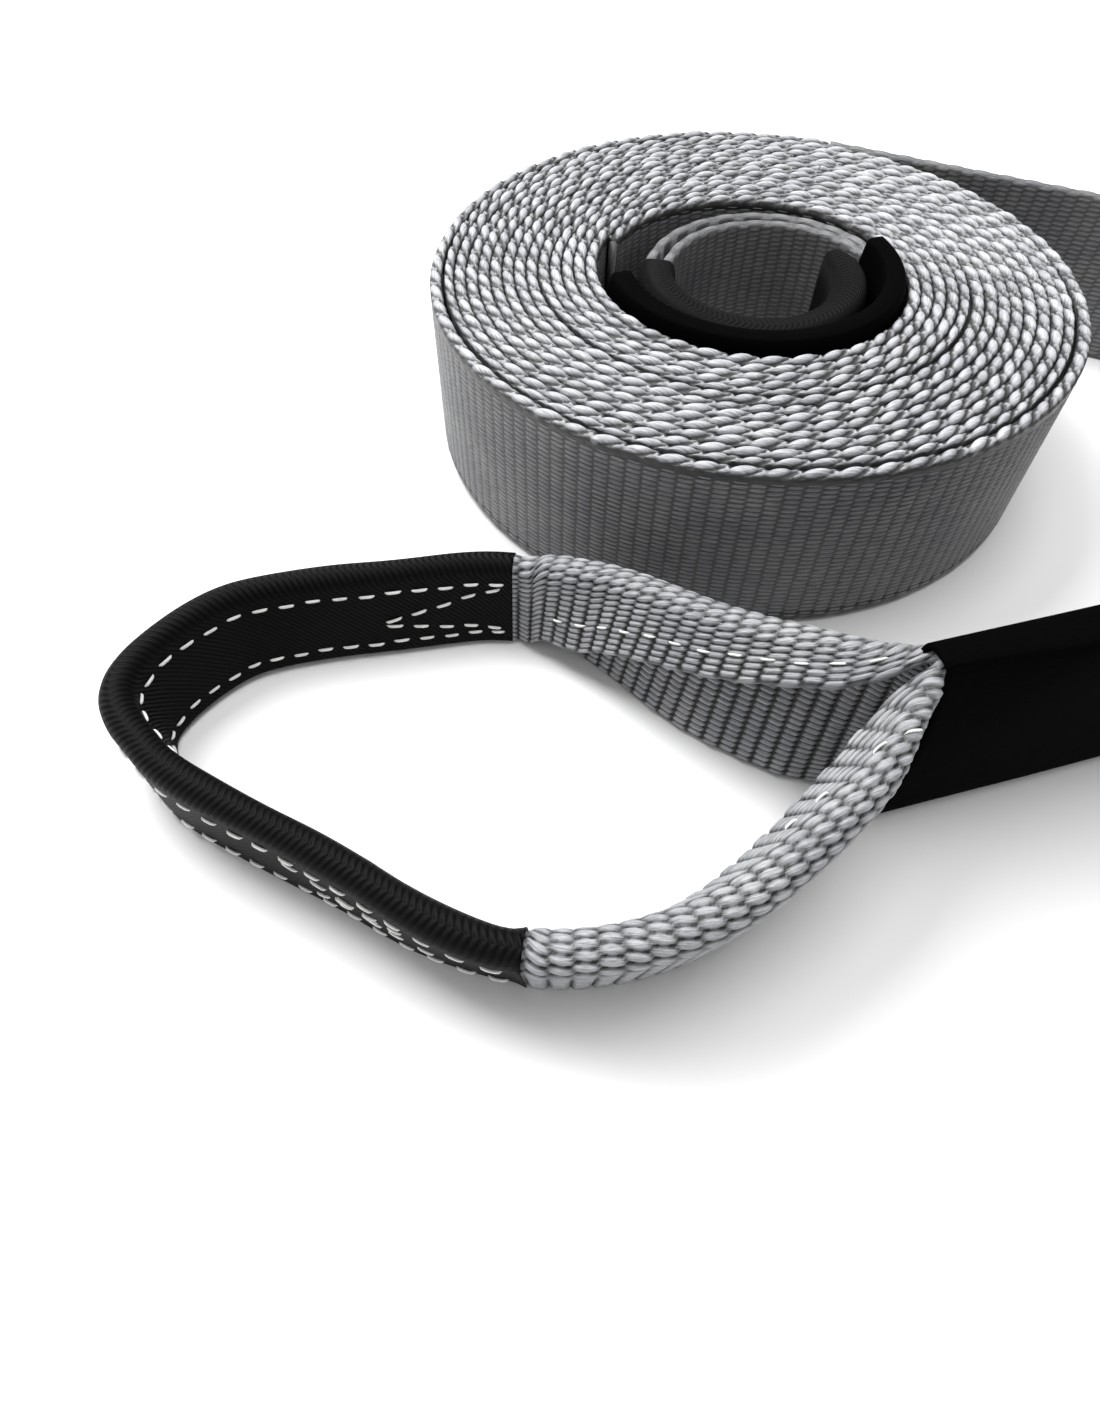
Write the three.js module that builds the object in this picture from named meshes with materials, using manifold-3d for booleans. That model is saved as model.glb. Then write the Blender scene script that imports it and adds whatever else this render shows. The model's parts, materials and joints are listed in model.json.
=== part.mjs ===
// Heavy tow strap: one continuous webbing wound into a roll that lies with its axis upright,
// with a sewn eye at each end. The outer end swings round to the front of the roll and ends in
// an open eye on edge, and the inner eye lies curled up in the bore.
// Millimetres, +Z up, the floor at Z = 0. Plan routes are set out from the roll's axis.
import * as THREE from 'three';
import * as BufferGeometryUtils from 'three/addons/utils/BufferGeometryUtils.js';
import Module from 'manifold-3d';

const wasm = await Module();
wasm.setup();

// Webbing
const webbingWidth = 50;
const webbingThickness = 3.3;
const clearance = 0.3;

// Roll
const boreRadius = 44.1;
const turnPitch = 3.4;
const turnCount = 14;
const turnGrooveWidth = 1.0;
const turnGrooveDepth = 1.6;
const rollSides = 40;

// Sewn joint of the outer eye, in its shrunk-on sleeve
const jointLength = 130;
const jointLayers = 3;
const sleeveWall = 1.0;
const jointHeading = THREE.MathUtils.degToRad(16);
const jointAside = 17;
const jointAhead = 54.3;

// Tail that runs from the joint round to the roll
const tailLead = 10;
const tailBendRadius = 70;
const tailSeat = THREE.MathUtils.degToRad(12);

// Outer eye: a loop of webbing folded in half lengthwise, which opens out towards the joint
const eyeReach = 158;
const eyeSpread = 97;
const eyeLean = 3.5;
const eyeTipFrom = 150;
const eyeTipRun = 40;
const foldHeight = 24.5;
const foldBaseHalf = 3.4;
const foldCrownHalf = 4.6;
const foldShoulder = 0.75;
const legHalfAtJoint = 2.3;
const openingLength = 92;
const openingRate = 1.6;
const creaseShare = 0.36;
const creaseLength = 10;
const twistLength = 22;
const twistRate = 3.2;
const backFootTwist = 5;
const crestTwist = 1.8;
const liftLength = 15;

// Wear pads
const padLength = 206;
const padThickness = 1.2;
const padSqueeze = 1.0;

// Inner eye, pressed flat and curled up in the bore
const innerJointLayers = 2;
const innerJointStart = THREE.MathUtils.degToRad(190);
const innerLeadSweep = THREE.MathUtils.degToRad(34);
const innerEyeLength = 190;
const innerEyeHeight = 47;
const innerEyeSweep = THREE.MathUtils.degToRad(420);
const innerEyeCrossing = THREE.MathUtils.degToRad(150);

// Values that follow from the sizes above
const rollRadius = boreRadius + turnCount * turnPitch;
const jointThickness = jointLayers * webbingThickness;
const innerJointThickness = innerJointLayers * webbingThickness;
const sleeveOffset = sleeveWall + clearance;
const padOffset = padThickness + clearance;
const overlap = 0.5;
const sleeveSetback = 2;
const cutOverrun = 4;

const grey = new THREE.MeshStandardMaterial({
  name: 'grey_webbing', color: 0x6f7275, roughness: 0.75, metalness: 0,
});
const padBlack = new THREE.MeshStandardMaterial({
  name: 'pad_black', color: 0x0b0b0c, roughness: 0.8, metalness: 0,
});
const sleeveBlack = new THREE.MeshStandardMaterial({
  name: 'sleeve_black', color: 0x060607, roughness: 0.6, metalness: 0,
});

const lerp = THREE.MathUtils.lerp;
const smooth = (t) => THREE.MathUtils.smoothstep(t, 0, 1);

// Turns a closed geometry into a solid
function toSolid(geometry) {
  const bare = geometry.clone();
  bare.deleteAttribute('normal');
  bare.deleteAttribute('uv');
  const merged = BufferGeometryUtils.mergeVertices(bare, 1e-4);
  return new wasm.Manifold(new wasm.Mesh({
    numProp: 3,
    vertProperties: new Float32Array(merged.attributes.position.array),
    triVerts: new Uint32Array(merged.index.array),
  }));
}

// Turns a solid into a named mesh
function toMesh(solid, name, material) {
  const { vertProperties, triVerts } = solid.getMesh();
  const geometry = new THREE.BufferGeometry();
  geometry.setAttribute('position', new THREE.BufferAttribute(new Float32Array(vertProperties), 3));
  geometry.setIndex(new THREE.BufferAttribute(new Uint32Array(triVerts), 1));
  geometry.computeVertexNormals();
  const mesh = new THREE.Mesh(geometry, material);
  mesh.name = name;
  return mesh;
}

// A band set on edge along a plan route from share `from` to share `to` of its length.
// sectionAt(distance, side, rise) gives the offset to the left of the route and the height,
// with side from -1 to 1 across the band and rise from 0 to 1 up it.
function bandAlong(route, { from = 0, to = 1, steps, across = 1, up = 1 }, sectionAt) {
  const length = route.getLength();
  const geometry = new THREE.BoxGeometry(1, 1, 1, steps, across, up);
  const position = geometry.attributes.position;
  for (let i = 0; i < position.count; i += 1) {
    const share = lerp(from, to, position.getX(i) + 0.5);
    const point = route.getPointAt(share);
    const along = route.getTangentAt(share);
    const [offset, height] = sectionAt(share * length, position.getY(i) * 2, position.getZ(i) + 0.5);
    position.setXYZ(i, point.x - along.y * offset, point.y + along.x * offset, height);
  }
  return toSolid(geometry);
}

// A plain rectangular section between two heights
function flatSection(half, low, high) {
  return (distance, side, rise) => [side * half, lerp(low, high, rise)];
}

// The roll: a ring turned about its axis, with a groove between neighbouring turns on both ends
function makeRoll() {
  const profile = [];
  for (let turn = 0; turn < turnCount; turn += 1) {
    const inner = boreRadius + turn * turnPitch + (turn === 0 ? 0 : turnGrooveWidth / 2);
    const outer = boreRadius + (turn + 1) * turnPitch - (turn === turnCount - 1 ? 0 : turnGrooveWidth / 2);
    profile.push([inner, 0], [outer, 0]);
    if (turn < turnCount - 1) profile.push([boreRadius + (turn + 1) * turnPitch, turnGrooveDepth]);
  }
  const lowerEnd = profile.map(([radius, height]) => new THREE.Vector2(radius, height));
  const upperEnd = profile.map(([radius, height]) => new THREE.Vector2(radius, webbingWidth - height));
  const outline = [...lowerEnd, ...upperEnd.reverse(), lowerEnd[0].clone()];
  const geometry = new THREE.LatheGeometry(outline, rollSides);
  geometry.rotateX(Math.PI / 2);
  return toSolid(geometry);
}

// Where the outer joint starts at its eye end, and the way it points
const jointStart = new THREE.Vector2(jointAside, -(rollRadius + jointAhead));
const jointWay = new THREE.Vector2(Math.cos(jointHeading), Math.sin(jointHeading));
const jointLeft = new THREE.Vector2(-jointWay.y, jointWay.x);
const jointEnd = jointStart.clone().addScaledVector(jointWay, jointLength);

// The tail: straight on from the joint, round a bend and into the roll's outer turn
function tailRoute() {
  const turnRadius = rollRadius - webbingThickness / 2;
  const bendStart = jointEnd.clone().addScaledVector(jointWay, tailLead);
  const bendCentre = bendStart.clone().addScaledVector(jointLeft, tailBendRadius);
  const apart = bendCentre.length();
  const radiusStep = turnRadius - tailBendRadius;
  const run = Math.sqrt(apart * apart - radiusStep * radiusStep);
  const heading = Math.atan2(-bendCentre.y, -bendCentre.x) - Math.atan2(radiusStep, run) + 2 * Math.PI;
  const seatAngle = (heading % (2 * Math.PI)) - Math.PI / 2;
  const path = new THREE.Path();
  path.moveTo(jointEnd.x - jointWay.x * overlap, jointEnd.y - jointWay.y * overlap);
  path.lineTo(bendStart.x, bendStart.y);
  path.absarc(bendCentre.x, bendCentre.y, tailBendRadius, jointHeading - Math.PI / 2, seatAngle, false);
  path.absarc(0, 0, turnRadius, seatAngle, seatAngle + tailSeat, false);
  return path;
}

// The eye's plan, as shares of its reach along the joint's line and of its spread across it
const eyePlan = [
  [0, 0.025], [0.184, 0.322], [0.308, 0.603], [0.414, 0.749], [0.62, 0.806], [0.87, 0.811], [1.004, 0.635],
  [0.976, 0.44], [0.792, 0.13], [0.576, -0.163], [0.36, -0.219], [0, -0.025],
];

function eyeRoute() {
  const points = eyePlan.map(([reach, spread]) => {
    const point = jointStart.clone().addScaledVector(jointWay, -reach * eyeReach);
    point.addScaledVector(jointLeft, spread * eyeSpread);
    return new THREE.Vector3(point.x, point.y, 0);
  });
  const half = legHalfAtJoint + clearance;
  const entry = (side) => {
    const point = jointStart.clone().addScaledVector(jointWay, overlap).addScaledVector(jointLeft, side * half);
    return new THREE.Vector3(point.x, point.y, 0);
  };
  points[0] = entry(1);
  points[points.length - 1] = entry(-1);
  return new THREE.CatmullRomCurve3(points);
}

// How the fold lies at a distance along the eye. At the joint the band stands upright at its full
// width. Away from it the fold closes: its crest sinks, fast at first, and leans outward over its foot.
function foldAt(distance, length) {
  const fromJoint = Math.min(distance, length - distance);
  const share = Math.min(1, fromJoint / openingLength);
  const closed = smooth(share);
  const crease = Math.exp(-fromJoint / creaseLength);
  const open = creaseShare * crease + (1 - creaseShare) * (1 - share ** openingRate);
  const twist = (1 - share ** twistRate) * smooth(fromJoint / twistLength);
  const lean = eyeLean * closed * (1 - smooth((fromJoint - eyeTipFrom) / eyeTipRun));
  const onBackLeg = distance < length / 2;
  return {
    closed,
    crestHeight: lerp(foldHeight, webbingWidth, open),
    foot: lean / 2 + (onBackLeg ? backFootTwist * twist : 0),
    crest: -lean / 2 - crestTwist * twist,
    lift: lerp(sleeveOffset, 0, smooth(fromJoint / liftLength)),
    inPad: smooth((fromJoint - openingLength) / jointThickness),
  };
}

// The folded webbing's section: fat at the fold on top, slimmer at its edges on the floor
function foldSection(length, grow, floor) {
  return (distance, side, rise) => {
    const fold = foldAt(distance, length);
    const height = fold.crestHeight + fold.lift + grow;
    const base = lerp(legHalfAtJoint, foldBaseHalf, fold.closed) + grow;
    const crown = lerp(legHalfAtJoint, foldCrownHalf - padSqueeze * fold.inPad, fold.closed) + grow;
    const middle = lerp(fold.foot, fold.crest, rise);
    if (rise <= foldShoulder) {
      const share = rise / foldShoulder;
      return [middle + side * lerp(base, crown, share), lerp(floor + fold.lift, height - crown, share)];
    }
    return [middle + (side * crown) / 2, height - (Math.abs(side) * crown) / 6];
  };
}

const outerEye = eyeRoute();
const outerEyeLength = outerEye.getLength();
const padFrom = (outerEyeLength - padLength) / 2 / outerEyeLength;

// Inner joint and eye: along the front of the bore, round the back, and curled up in the middle
const innerJointRadius = boreRadius - clearance - sleeveOffset - innerJointThickness / 2;
const innerJointSweep = jointLength / innerJointRadius;
const innerEyeHalf = foldCrownHalf;
const innerCoilRadius = innerJointRadius - innerJointThickness / 2 - sleeveOffset - 2 * clearance
  - padOffset - innerEyeHalf;

// A spiral about the roll's axis
class Spiral extends THREE.Curve {
  constructor(start, sweep, radiusAt) {
    super();
    this.start = start;
    this.sweep = sweep;
    this.radiusAt = radiusAt;
  }

  getPoint(t, target = new THREE.Vector2()) {
    const angle = this.start + this.sweep * t;
    const radius = this.radiusAt(this.sweep * t);
    return target.set(radius * Math.cos(angle), radius * Math.sin(angle));
  }
}

const innerLead = new Spiral(innerJointStart - innerLeadSweep, innerLeadSweep * 1.05, (angle) => (
  lerp(boreRadius + webbingThickness / 2, innerJointRadius, smooth(angle / innerLeadSweep))
));
const innerJoint = new Spiral(innerJointStart, innerJointSweep, () => innerJointRadius);
const innerEye = new Spiral(innerJointStart + innerJointSweep, innerEyeSweep, (angle) => (
  lerp(innerJointRadius, innerCoilRadius, smooth(angle / innerEyeCrossing))
));
const innerEyeTo = innerEyeLength / innerEye.getLength();
const innerPadFrom = (innerEyeLength - padLength / 2) / innerEye.getLength();

// The inner eye's two legs pressed together, from the joint's thickness to the full one
function innerEyeSection(grow, floor) {
  return (distance, side, rise) => {
    const lift = lerp(sleeveOffset, 0, smooth(distance / liftLength));
    const half = lerp(innerJointThickness / 2, innerEyeHalf, smooth(distance / (openingLength / 2))) + grow;
    const height = innerEyeHeight + grow;
    if (rise <= foldShoulder) return [side * half, lerp(floor + lift, height - half / 2, rise / foldShoulder)];
    return [side * half * 0.7, height];
  };
}

// All of the webbing, from the inner eye to the outer one, in one piece
function makeWebbing() {
  const tail = bandAlong(tailRoute(), { steps: 44 }, flatSection(webbingThickness / 2, 0, webbingWidth));
  const jointLine = new THREE.LineCurve(jointStart, jointEnd);
  const lift = flatSection(jointThickness / 2, sleeveOffset, sleeveOffset + webbingWidth);
  const joint = bandAlong(jointLine, { steps: 1 }, lift);
  const eye = bandAlong(outerEye, { steps: 66, across: 2, up: 4 }, foldSection(outerEyeLength, 0, 0));
  const lead = bandAlong(innerLead, { steps: 8 }, flatSection(webbingThickness / 2, 0, webbingWidth));
  const innerLift = flatSection(innerJointThickness / 2, sleeveOffset, sleeveOffset + webbingWidth);
  const inner = bandAlong(innerJoint, { steps: 24 }, innerLift);
  const legs = bandAlong(innerEye, { to: innerEyeTo, steps: 32, up: 4 }, innerEyeSection(0, 0));
  return [tail, joint, eye, lead, inner, legs].reduce((whole, piece) => whole.add(piece), makeRoll());
}

// A joint's sleeve: a flat tube around the sewn layers
function makeSleeve(route, thickness, steps) {
  const ends = sleeveSetback / route.getLength();
  const wall = flatSection(thickness / 2 + sleeveOffset, 0, webbingWidth + 2 * sleeveOffset);
  const space = flatSection(thickness / 2 + clearance, sleeveWall, sleeveWall + webbingWidth + 2 * clearance);
  const outside = bandAlong(route, { from: ends, to: 1 - ends, steps }, wall);
  return outside.subtract(bandAlong(route, { steps }, space));
}

// The outer eye's pad: a strip folded over the webbing round the tip, open along the floor
function makeOuterPad() {
  const shape = { from: padFrom, to: 1 - padFrom, steps: 34, across: 2, up: 4 };
  const extra = cutOverrun / outerEyeLength;
  const outside = bandAlong(outerEye, shape, foldSection(outerEyeLength, padOffset, 0));
  const space = { ...shape, from: padFrom - extra, to: 1 + extra - padFrom };
  return outside.subtract(bandAlong(outerEye, space, foldSection(outerEyeLength, clearance, -1)));
}

// The inner eye's pad: the same strip round the curled end, closed over its tip
function makeInnerPad() {
  const total = innerEye.getLength();
  const shape = { from: innerPadFrom, to: innerEyeTo + padOffset / total, steps: 20, up: 4 };
  const outside = bandAlong(innerEye, shape, innerEyeSection(padOffset, 0));
  const space = { ...shape, from: innerPadFrom - cutOverrun / total, to: innerEyeTo + clearance / total };
  return outside.subtract(bandAlong(innerEye, space, innerEyeSection(clearance, -1)));
}

const strap = new THREE.Group();
const outerJointLine = new THREE.LineCurve(jointStart, jointEnd);
strap.add(
  toMesh(makeWebbing(), 'strap_webbing', grey),
  toMesh(makeOuterPad(), 'outer_eye_pad', padBlack),
  toMesh(makeSleeve(outerJointLine, jointThickness, 1), 'outer_joint_sleeve', sleeveBlack),
  toMesh(makeInnerPad(), 'inner_eye_pad', padBlack),
  toMesh(makeSleeve(innerJoint, innerJointThickness, 24), 'inner_joint_sleeve', sleeveBlack),
);

// The origin is under the middle of the whole part's box
const middle = new THREE.Box3().setFromObject(strap).getCenter(new THREE.Vector3());
strap.position.set(-middle.x, -middle.y, 0);

export default strap;
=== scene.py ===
import json
import math

import bpy
import numpy as np
from mathutils import Matrix


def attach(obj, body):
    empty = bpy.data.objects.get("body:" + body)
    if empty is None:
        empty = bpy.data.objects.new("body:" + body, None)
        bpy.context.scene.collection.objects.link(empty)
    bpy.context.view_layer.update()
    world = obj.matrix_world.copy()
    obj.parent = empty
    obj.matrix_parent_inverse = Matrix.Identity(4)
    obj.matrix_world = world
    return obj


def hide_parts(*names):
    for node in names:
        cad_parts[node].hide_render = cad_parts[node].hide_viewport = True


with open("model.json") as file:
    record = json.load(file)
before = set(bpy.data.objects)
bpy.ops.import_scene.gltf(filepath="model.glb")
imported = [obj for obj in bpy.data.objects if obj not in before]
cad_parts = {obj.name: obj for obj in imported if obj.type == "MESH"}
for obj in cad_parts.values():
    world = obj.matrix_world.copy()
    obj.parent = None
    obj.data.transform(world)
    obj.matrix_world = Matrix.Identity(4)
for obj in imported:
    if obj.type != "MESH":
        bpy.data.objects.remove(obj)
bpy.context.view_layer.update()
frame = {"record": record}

TAU = 2 * math.pi

# Sizes in millimetres, as in the part's source; plan routes are set out from the roll's axis
WEBBING_WIDTH = 50.0
WEBBING_THICKNESS = 3.3
CLEARANCE = 0.3
BORE_RADIUS = 44.1
TURN_PITCH = 3.4
TURN_COUNT = 14
ROLL_RADIUS = BORE_RADIUS + TURN_COUNT * TURN_PITCH
JOINT_LENGTH = 130.0
JOINT_THICKNESS = 3 * WEBBING_THICKNESS
INNER_JOINT_THICKNESS = 2 * WEBBING_THICKNESS
SLEEVE_WALL = 1.0
SLEEVE_OFFSET = SLEEVE_WALL + CLEARANCE
JOINT_HEADING = math.radians(16)
JOINT_START = np.array([17.0, -(ROLL_RADIUS + 54.3)])
TAIL_LEAD = 10.0
TAIL_BEND_RADIUS = 70.0
EYE_REACH = 158.0
EYE_SPREAD = 97.0
EYE_PLAN = [
    (0, 0.025), (0.184, 0.322), (0.308, 0.603), (0.414, 0.749), (0.62, 0.806), (0.87, 0.811), (1.004, 0.635),
    (0.976, 0.44), (0.792, 0.13), (0.576, -0.174), (0.36, -0.247), (0, -0.025),
]
FOLD_HEIGHT = 24.5
OPENING_LENGTH = 92.0
LIFT_LENGTH = 15.0
PAD_LENGTH = 206.0
PAD_THICKNESS = 1.2
PAD_OFFSET = PAD_THICKNESS + CLEARANCE
INNER_JOINT_START = math.radians(190)

# How the outer eye's fold closes, leans and twists away from the joint
OPENING_RATE = 1.6
CREASE_SHARE = 0.36
CREASE_LENGTH = 16.0
TWIST_LENGTH = 22.0
TWIST_RATE = 3.2
BACK_FOOT_TWIST = 5.0
CREST_TWIST = 1.8

# The weave: ribs across the webbing, each a stack of short floats
RIB_PITCH = 4.1
YARN_PITCH = WEBBING_WIDTH / 32
FLOAT_REACH = 0.61
FLOAT_SIDE = 0.545
FLOAT_VARIATION = 0.14
RIBBING = 0.45
EDGE_HALF = 1.3
FINE = RIB_PITCH / 8
ROLL_RELIEF = 0.5
BORE_RELIEF = 0.4
TAIL_RELIEF = 0.35
LEG_RELIEF = 0.75
LEG_RIBBING = 0.9

# The record's rest mount lies under the front of the roll, in the middle of a turn's edge
mount = next(m for m in frame["record"]["mounts"] if m["name"] == "roll_underside")
MOUNT_TURN = 10
MOUNT_RADIUS = BORE_RADIUS + (MOUNT_TURN + 0.5) * TURN_PITCH
ROLL_AXIS = np.array([mount["pos_m"][0] * 1000, mount["pos_m"][1] * 1000 + MOUNT_RADIUS, 0.0])


def lerp(a, b, t):
    return a + (b - a) * t


def smooth(t):
    t = np.clip(t, 0, 1)
    return t * t * (3 - 2 * t)


def scatter(a, b):
    """A steady random number from 0 to 1 for each pair of whole numbers."""
    wave = np.sin(a * 12.9898 + b * 78.233) * 43758.5453
    return wave - np.floor(wave)


# Plan routes
class Route:
    """A dense line in plan, looked up by distance along it."""

    def __init__(self, points):
        self.points = np.asarray(points, float)
        steps = np.linalg.norm(np.diff(self.points, axis=0), axis=1)
        self.distance = np.concatenate(([0.0], np.cumsum(steps)))
        self.length = self.distance[-1]
        self.tangent = np.gradient(self.points, self.distance, axis=0)

    def at(self, distance):
        """Points and left-hand normals at the distances given."""
        point = np.stack([np.interp(distance, self.distance, self.points[:, i]) for i in (0, 1)], -1)
        along = np.stack([np.interp(distance, self.distance, self.tangent[:, i]) for i in (0, 1)], -1)
        along /= np.linalg.norm(along, axis=-1, keepdims=True)
        return point, np.stack([-along[..., 1], along[..., 0]], -1)


def heading(angle):
    return np.array([math.cos(angle), math.sin(angle)])


def arc(centre, radius, start, end, steps=120):
    angle = np.linspace(start, end, steps)[:, None]
    return np.asarray(centre) + radius * np.hstack([np.cos(angle), np.sin(angle)])


def spline(points, steps=60):
    """A centripetal Catmull-Rom curve through the points."""
    points = [np.asarray(p, float) for p in points]
    points = [2 * points[0] - points[1], *points, 2 * points[-1] - points[-2]]
    curve = []
    for a, b, c, d in zip(points, points[1:], points[2:], points[3:]):
        gaps = [max(np.linalg.norm(q - p) ** 0.5, 1e-4) for p, q in ((a, b), (b, c), (c, d))]
        start = ((b - a) / gaps[0] - (c - a) / (gaps[0] + gaps[1]) + (c - b) / gaps[1]) * gaps[1]
        end = ((c - b) / gaps[1] - (d - b) / (gaps[1] + gaps[2]) + (d - c) / gaps[2]) * gaps[1]
        t = np.linspace(0, 1, steps, endpoint=False)[:, None]
        square = 3 * (c - b) - 2 * start - end
        cube = 2 * (b - c) + start + end
        curve.append(b + start * t + square * t ** 2 + cube * t ** 3)
    return np.vstack([*curve, points[-2]])


JOINT_WAY = heading(JOINT_HEADING)
JOINT_LEFT = heading(JOINT_HEADING + math.pi / 2)
JOINT_END = JOINT_START + JOINT_WAY * JOINT_LENGTH


def eye_route():
    half = 2.3 + CLEARANCE
    points = [JOINT_START - JOINT_WAY * r * EYE_REACH + JOINT_LEFT * s * EYE_SPREAD for r, s in EYE_PLAN]
    points[0] = JOINT_START + JOINT_WAY * 0.5 + JOINT_LEFT * half
    points[-1] = JOINT_START + JOINT_WAY * 0.5 - JOINT_LEFT * half
    return Route(spline(points))


def tail_bend():
    """The tail's bend centre, and the angle at which the tail meets the roll."""
    start = JOINT_END + JOINT_WAY * TAIL_LEAD
    centre = start + JOINT_LEFT * TAIL_BEND_RADIUS
    step = ROLL_RADIUS - WEBBING_THICKNESS / 2 - TAIL_BEND_RADIUS
    apart = np.linalg.norm(centre)
    run = math.sqrt(apart ** 2 - step ** 2)
    seat = (math.atan2(-centre[1], -centre[0]) - math.atan2(step, run)) % TAU - math.pi / 2
    return centre, seat


BEND_CENTRE, TAIL_SEAT = tail_bend()

# The winding as one spiral that shrinks by a turn's thickness each time round
FRONT = math.radians(270)
FRONT_OUTER = ROLL_RADIUS - WEBBING_THICKNESS / 2
WIND_START = TAIL_SEAT
WIND_END = FRONT + TAU * (TURN_COUNT - 1) + math.radians(246)
TURN_SHRINK = (FRONT_OUTER - BORE_RADIUS - WEBBING_THICKNESS / 2) / (TURN_COUNT - 1)


def wind_radius(angle):
    return FRONT_OUTER - TURN_SHRINK * (angle - FRONT) / TAU


def wind_route(start, end):
    angle = np.linspace(start, end, int((end - start) / TAU * 720))
    radius = wind_radius(angle)
    return Route(np.stack([radius * np.cos(angle), radius * np.sin(angle)], -1))


def tail_route():
    seat_radius = wind_radius(WIND_START)
    join = arc((0, 0), seat_radius, TAIL_SEAT, TAIL_SEAT + 0.02, 3)
    bend = arc(BEND_CENTRE, TAIL_BEND_RADIUS, JOINT_HEADING - math.pi / 2, TAIL_SEAT, 120)
    lead = np.linspace(JOINT_END - JOINT_WAY * 3, bend[0], 12, endpoint=False)
    run = np.linspace(bend[-1], join[0], 60)[1:-1]
    return Route(np.vstack([lead, bend, run, join]))


# Meshes
def write_mesh(name, points, faces, uvs, relief, material):
    """One object from points in millimetres, its faces, and a UV pair in millimetres per corner.
    relief says how high in the weave each point lies, for the material, which paints shade into the low
    points."""
    mesh = bpy.data.meshes.new(name)
    mesh.from_pydata(((points + ROLL_AXIS) / 1000).tolist(), [], faces)
    layer = mesh.uv_layers.new(name="weave")
    layer.data.foreach_set("uv", np.asarray(uvs, np.float32).ravel())
    attribute = mesh.attributes.new("relief", "FLOAT", "POINT")
    attribute.data.foreach_set("value", np.asarray(relief, np.float32).ravel())
    mesh.polygons.foreach_set("use_smooth", [True] * len(mesh.polygons))
    mesh.materials.append(material)
    obj = bpy.data.objects.new(name, mesh)
    bpy.context.collection.objects.link(obj)
    return obj


def place(route, s, offset, height):
    """Points at distances s along a plan route, offset to its left and at the heights given."""
    s = np.broadcast_to(s, offset.shape)
    point, left = route.at(s)
    plan = point + left * offset[..., None]
    return np.concatenate([plan, np.broadcast_to(height, offset.shape)[..., None]], -1)


def tube_faces(rows, cols):
    i, j = np.meshgrid(np.arange(rows - 1), np.arange(cols), indexing="ij")
    k = (j + 1) % cols
    return np.stack([i * cols + j, (i + 1) * cols + j, (i + 1) * cols + k, i * cols + k], -1).reshape(-1, 4)


def signed_volume(points, quads):
    a, b, c, d = (points[quads[:, n]] for n in range(4))
    return np.einsum("ij,ij->", a, np.cross(b, c)) + np.einsum("ij,ij->", a, np.cross(c, d))


def tube(name, points, uv, relief, material):
    """A closed tube from rings of points, with flat ends. uv has one more column than points has."""
    rows, cols = points.shape[:2]
    flat = points.reshape(-1, 3)
    quads = tube_faces(rows, cols)
    i, j = np.divmod(np.arange(len(quads)), cols)
    corners = np.stack([uv[i, j], uv[i + 1, j], uv[i + 1, j + 1], uv[i, j + 1]], 1)
    if signed_volume(flat, quads) < 0:
        quads = quads[:, ::-1]
        corners = corners[:, ::-1]
    faces = quads.tolist()
    first = list(range(cols))
    last = [(rows - 1) * cols + n for n in range(cols)]
    if quads[0][1] != cols:
        first, last = first[::-1], last[::-1]
    faces += [first, last[::-1]]
    ends = np.concatenate([uv[0, first], uv[-1, [n - (rows - 1) * cols for n in last[::-1]]]])
    uvs = np.concatenate([corners.reshape(-1, 2), ends])
    return write_mesh(name, flat, faces, uvs, relief, material)


# Weave relief
def weave(s, u, blunt=2.0, seed=0, ribbing=RIBBING):
    """Height from 0 to 1 of the warp floats at s along the webbing and u across it. A rib's floats
    interlock with the next rib's. A larger blunt squares their ends off, and where it does, ribbing
    sinks the groove between two ribs."""
    base = np.round(s / RIB_PITCH)
    height = np.zeros(np.broadcast(s, u).shape)
    for shift in (-1, 0, 1):
        rib = base + shift
        lane = u / YARN_PITCH - 0.5 * (rib % 2)
        yarn = np.round(lane)
        jitter = scatter(rib + seed, yarn) - 0.5
        along = np.abs(s / RIB_PITCH - rib + 0.05 * jitter) / FLOAT_REACH
        across = (lane - yarn) / FLOAT_SIDE
        bump = np.sqrt(np.clip(1 - along ** blunt - across ** 2, 0, 1))
        height = np.maximum(height, bump * (1 + FLOAT_VARIATION * jitter))
    zigzag = 0.045 * np.sin(TAU * u / YARN_PITCH + np.pi * (base % 2))
    groove = smooth((np.abs(s / RIB_PITCH - base + zigzag) - 0.3) / 0.2)
    return height * (1 - ribbing * groove * np.clip((blunt - 2) / 2.5, 0, 1))


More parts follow.
